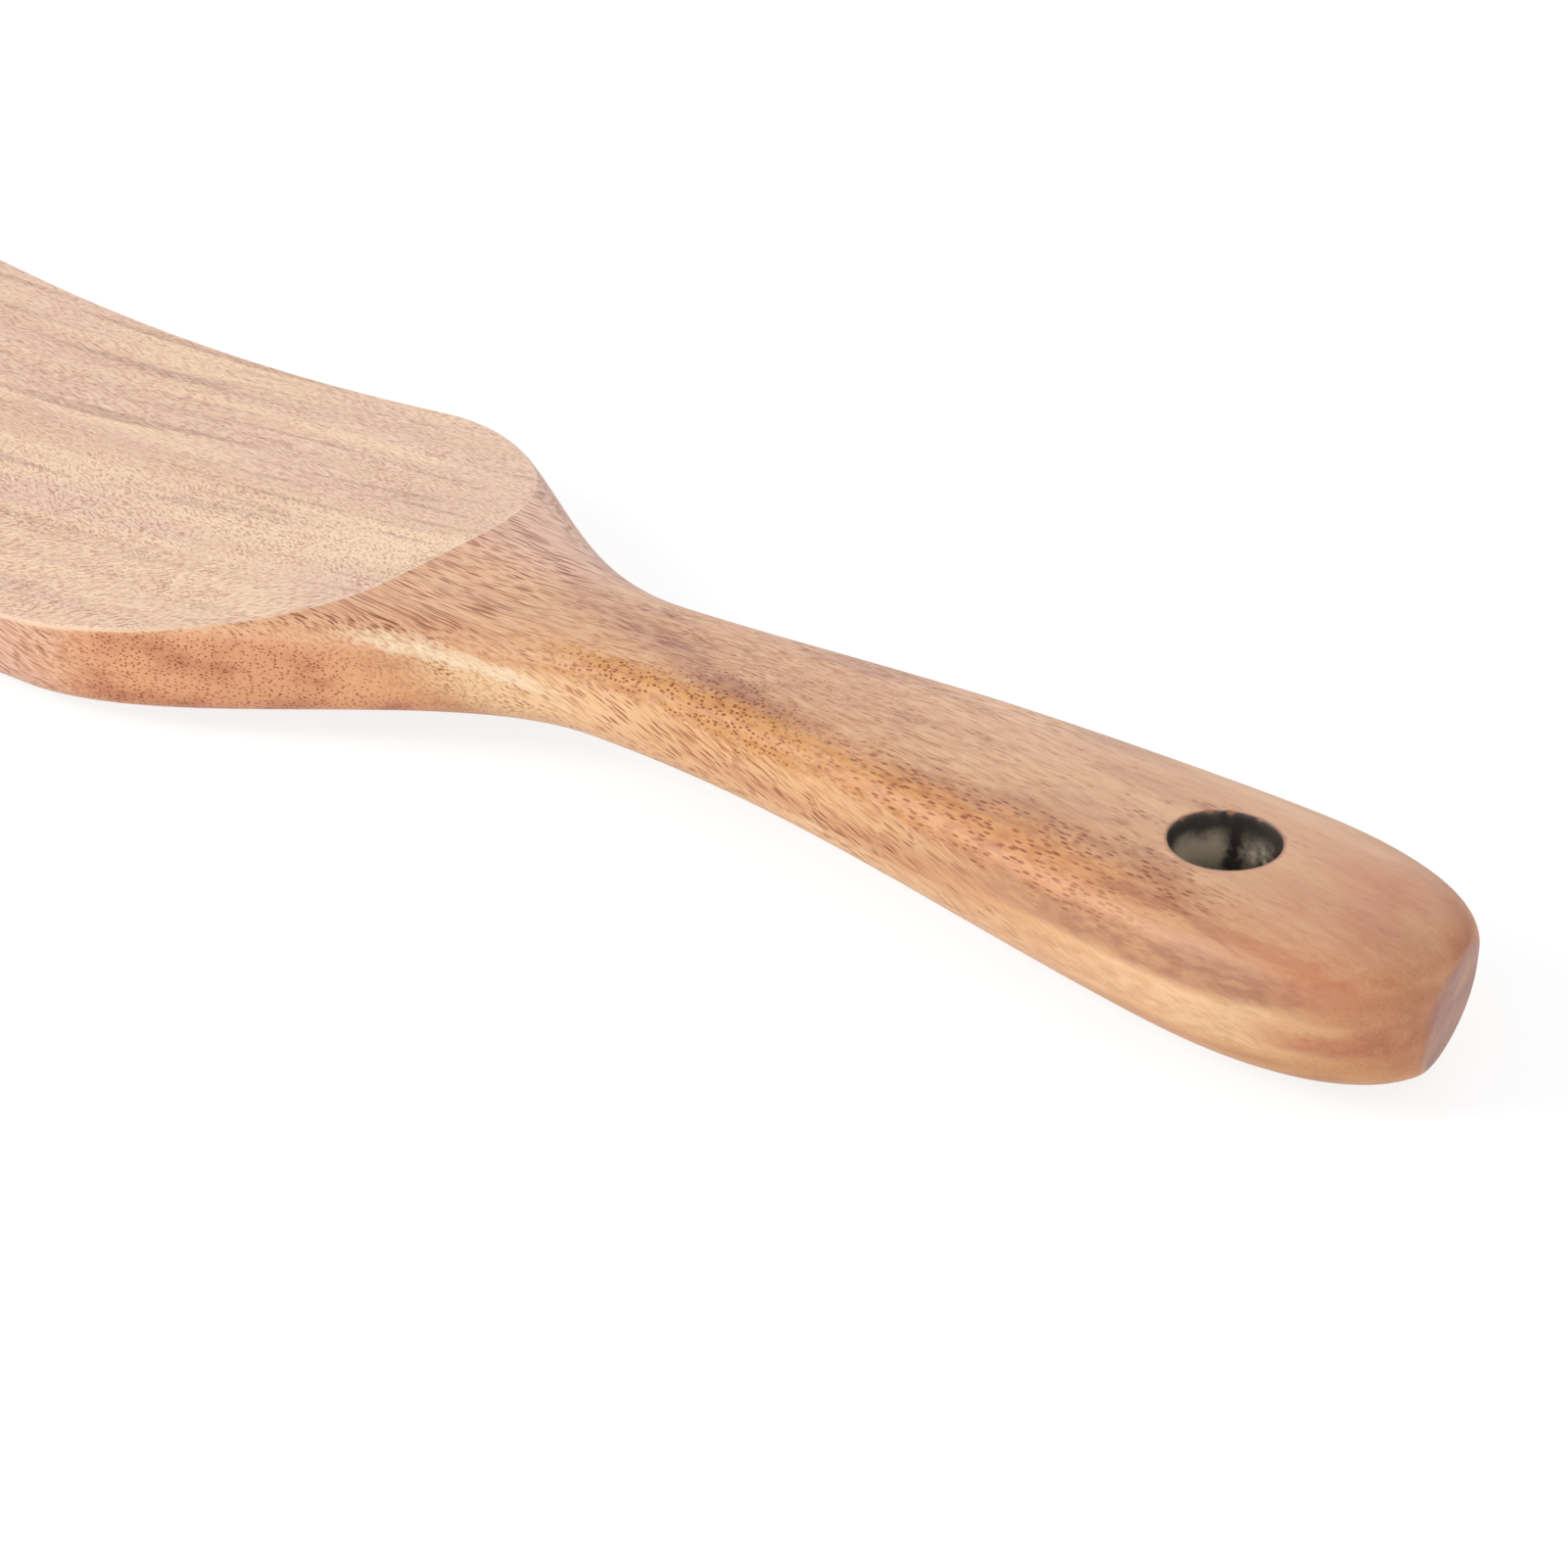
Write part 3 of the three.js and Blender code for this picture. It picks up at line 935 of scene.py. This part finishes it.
def add_dashes(n, at, colour):
    """Fine dashes, which fade towards the handle's end. Gives the new colour and the dashes' height."""
    top_dash = n.noise(at.grain, TOP_DASH, detail=1.0)
    side_dash = n.noise(at.fibre, SIDE_DASH, detail=1.0)
    dash = n.blend(at.face, n.blend(at.side, top_dash, side_dash), face_dashes(n, at))
    on_top = n.spread(at.along, 14, 34, 0.6, 0.75)
    on_side = n.spread(at.along, -25, -5, 1, 0.45)
    calm = n.times(n.blend(at.wall, 1, 0.3), n.blend(at.bold, 1, 0.35))
    oiled = n.times(at.worn, n.blend(at.side, on_top, on_side), calm)
    strength = n.blend(at.face, oiled, n.spread(at.across, -10, 14, 1, 0.62))
    light = n.spread(dash, 0.5, 0.72, 0, n.blend(at.face, 0.25, 0.6))
    colour = n.mix(n.times(light, strength), colour, FIBRE_LIGHT)
    shade = n.mix(at.face, DASH_SHADE, FACE_DASH_SHADE)
    return n.mix(n.times(n.spread(dash, 0.52, 0.3), strength), colour, shade, "MULTIPLY"), dash


def add_pores(n, at, colour):
    """Open pores: dashes along the fibres, long lines by the face's edge, and dots where fibres come up.

    Gives the new colour and the pores' depth.
    """
    top_dash = n.times(n.pores(at.grain, TOP_PORE, 0.2, 0.42), n.spread(at.along, 28, 60, 1, 0.8))
    cut_dash = n.pores(at.fibre, CUT_PORE, 0.24, 0.5)
    dash = n.blend(n.largest(at.side, at.face), top_dash, cut_dash)
    cluster = n.spread(n.noise(at.board, PORE_CLUSTER), 0.38, 0.6, 0.35, 1)
    elsewhere = n.largest(at.bold, at.ridge_highlight, at.beside_line, at.wall)
    dash = n.times(dash, cluster, at.worn, n.blend(elsewhere, 1, 0.3))
    colour = n.mix(dash, colour, n.mix(at.face, PORE_SHADE, FACE_PORE_SHADE), "MULTIPLY")

    line = n.times(n.pores(at.grain, LINE_PORE, 0.26, 0.5), at.beside_line, n.blend(at.face, 1, 0))
    colour = n.mix(line, colour, LINE_SHADE, "MULTIPLY")

    # Round on the neck, and longer along the handle.
    neck_dot = n.pores(at.board, NECK_DOT, 0.22, 0.5)
    handle_dot = n.times(n.pores(at.board, HANDLE_DOT, 0.22, 0.52), 0.8)
    roll_dot = n.spread(at.along, 44, 66, neck_dot, handle_dot)
    soft = n.spread(n.noise(at.board, SOFT_DOT), 0.42, 0.72, 0, 0.33)
    wall_dot = n.times(n.pores(at.board, WALL_DOT, 0.16, 0.46), at.wall, 0.9)
    dot = n.largest(n.times(n.largest(roll_dot, soft), at.bold), wall_dot)
    colour = n.mix(dot, colour, DOT_SHADE, "MULTIPLY")
    return colour, n.largest(dash, line, dot)


def add_hole(n, at, colour):
    """Wall of the hole: mottled black, partly scorch and partly painted shade, lighter in two patches of
    bare wood where light is painted in, with a burnt rim.
    """
    from_axis = n.vector("MULTIPLY", n.vector("SUBTRACT", at.place, (HOLE_X, 0, 0)), (1, 1, 0))
    reach = n.add("ShaderNodeVectorMath", {0: from_axis}, "Value", operation="LENGTH")
    past = n.plus(reach, -HOLE_RADIUS)
    outward = n.vector("NORMALIZE", from_axis)
    specks = n.times(n.noise(at.place, HOLE_SPECK_SIZE, detail=3.0), 1.3)
    mottle = n.plus(specks, n.noise(at.place, HOLE_CLOUD_SIZE))
    lit_bare = n.plus(mottle, -1.12)
    for turn, width, strength in LIT_BARE_PATCHES:
        centre = (math.cos(turn), math.sin(turn), 0)
        lit_bare = n.plus(lit_bare, n.spread(n.dot(outward, centre), math.cos(width), 1, 0, strength))

    # Blacker low down, as painted shade deep in the hole, and right under the rim, as painted shadow and
    # char.
    lit_bare = n.times(n.spread(lit_bare, 0, 1.1), n.spread(at.up, 9.5, 12.5, 0.35, 1))
    lit_bare = n.times(lit_bare, n.spread(n.plus(at.up, n.times(mottle, 1.2)), 14.2, 16.6, 1, 0.05))
    colour = n.mix(n.spread(past, *RIM_SCORCHED, 0.65, 0), colour, RIM_SCORCH)
    return n.mix(n.spread(past, *WALL_CHAR_AND_SHADE, 1, 0), colour, n.mix(lit_bare, HOLE_CHAR_AND_SHADE, HOLE_BARE_AND_LIT))


def wood_material():
    """The one material of the whole body."""
    material = bpy.data.materials.new("oiled_hardwood_grain")
    material.use_nodes = True
    n = Nodes(material.node_tree)
    at = WoodPlaces(n)
    oiled = top_colour(n, at)
    for add_figure in (add_sides, add_roll_over, add_neck_side, add_vein, add_butt):
        oiled = add_figure(n, at, oiled)
    colour = n.mix(at.face, oiled, face_colour(n, at))
    colour, dash = add_dashes(n, at, colour)
    colour, pore = add_pores(n, at, colour)
    # Eased edges painted pale: partly wear, partly a painted highlight.
    colour = n.mix(n.times(at.edge, WORN_EDGE_HIGHLIGHT_STRENGTH), colour, WORN_EDGE_HIGHLIGHT)
    colour = add_hole(n, at, colour)
    height = n.plus(n.times(dash, DASH_HEIGHT), n.times(pore, -1))
    bumped = {"Strength": BUMP_STRENGTH, "Distance": BUMP_DEPTH * MM, "Height": height}
    normal = n.add("ShaderNodeBump", bumped, "Normal")
    inputs = {
        "Base Color": colour,
        "Roughness": ROUGHNESS,
        "Specular IOR Level": SPECULAR,
        "Normal": normal,
    }
    n.surface(n.add("ShaderNodeBsdfPrincipled", inputs, "BSDF"))
    return material


# Camera: the photograph's angle, with the top of the hole at its place in the picture.
IMAGE_SIZE = 1601
FOCAL_PIXELS = 5200  # focal length, in pixels of the photograph
SENSOR = 36
CLIP_START = 0.01
VIEW_AZIMUTH = math.radians(39.41)
VIEW_ELEVATION = math.radians(29.345)
VIEW_ROLL = math.radians(0.443)
HOLE_PIXEL = (1251, 857.5)
HOLE_DEPTH = 451.03  # how far the hole is in front of the camera


def add_camera():
    sin_a, cos_a = math.sin(VIEW_AZIMUTH), math.cos(VIEW_AZIMUTH)
    sin_e, cos_e = math.sin(VIEW_ELEVATION), math.cos(VIEW_ELEVATION)
    back = Vector((sin_a * cos_e, -cos_a * cos_e, sin_e))
    level = Vector((cos_a, sin_a, 0))
    upright = back.cross(level)
    right = math.cos(VIEW_ROLL) * level + math.sin(VIEW_ROLL) * upright
    up = back.cross(right)
    target = Vector((HOLE_X, 0, float(top_height(HOLE, 0.0))))
    offset_right = (HOLE_PIXEL[0] - IMAGE_SIZE / 2) / FOCAL_PIXELS
    offset_up = (IMAGE_SIZE / 2 - HOLE_PIXEL[1]) / FOCAL_PIXELS
    eye = target - HOLE_DEPTH * (offset_right * right + offset_up * up - back)
    camera = bpy.data.cameras.new("camera")
    camera.sensor_width = SENSOR
    camera.lens = SENSOR * FOCAL_PIXELS / IMAGE_SIZE
    camera.clip_start = CLIP_START
    obj = add_object(camera)
    turn = Matrix((right, up, back)).transposed().to_4x4()
    obj.matrix_world = Matrix.Translation(eye * MM) @ turn
    bpy.context.scene.camera = obj


# White ground and sky: how they light the spatula, and how they look where they are seen. In metres.
FLOOR_HALF = 3.0
FLOOR_LEVEL = -0.0002
FLOOR_LIT = 0.92
FLOOR_SEEN = 0.25
FLOOR_GLOW = 0.84
SKY_LIGHT = 0.52
SKY_SEEN = 1.0

# Lamps: name, place and size in metres, and power in watts.
LAMPS = (
    ("key", (-0.75, -0.85, 0.75), 0.5, 10.0),
    ("fill", (0.2, -1.1, 0.3), 0.6, 1.5),
    ("rim", (-0.5, 1.0, 0.5), 0.6, 2.0),
)


def grey(level):
    return (level, level, level, 1)


def is_seen(n):
    """1 for rays that show a surface itself, also in a reflection, and 0 for rays that carry its light."""
    path = n.node("ShaderNodeLightPath", {}).outputs
    return n.largest(path["Is Camera Ray"], path["Is Glossy Ray"], path["Is Transmission Ray"])


def add_floor():
    """White ground that keeps the spatula's shadow."""
    corners = np.array([[-1, -1, 0], [1, -1, 0], [1, 1, 0], [-1, 1, 0]]) * FLOOR_HALF
    floor = add_object(mesh_from("floor", corners + np.array([0, 0, FLOOR_LEVEL]), [(0, 1, 2, 3)]))
    material = bpy.data.materials.new("pale_floor")
    material.use_nodes = True
    n = Nodes(material.node_tree)
    lit = n.add("ShaderNodeBsdfDiffuse", {"Color": grey(FLOOR_LIT)})
    shadowed = n.add("ShaderNodeBsdfDiffuse", {"Color": grey(FLOOR_SEEN)})
    glow = n.add("ShaderNodeEmission", {"Color": grey(1), "Strength": FLOOR_GLOW})
    white = n.add("ShaderNodeAddShader", {0: shadowed, 1: glow})
    n.surface(n.add("ShaderNodeMixShader", {0: is_seen(n), 1: lit, 2: white}))
    floor.data.materials.append(material)


def add_world():
    world = bpy.data.worlds.new("studio")
    world.use_nodes = True
    n = Nodes(world.node_tree)
    strength = n.blend(is_seen(n), SKY_LIGHT, SKY_SEEN)
    sky = n.add("ShaderNodeBackground", {"Color": grey(1), "Strength": strength})
    n.surface(sky, "ShaderNodeOutputWorld")
    bpy.context.scene.world = world


def add_lamp(name, place, size, power):
    """Square lamp that shines on the middle of the spatula."""
    lamp = bpy.data.lights.new(name, "AREA")
    lamp.size = size
    lamp.energy = power
    inwards = -Vector(place)
    obj = add_object(lamp)
    obj.matrix_world = Matrix.Translation(place) @ inwards.to_track_quat("-Z", "Y").to_matrix().to_4x4()


body = build_body()
body.data.materials.clear()
body.data.materials.append(wood_material())
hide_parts(NODE)
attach(body, "root")

add_camera()
add_floor()
add_world()
for lamp_values in LAMPS:
    add_lamp(*lamp_values)
bpy.context.scene.view_settings.view_transform = "Standard"
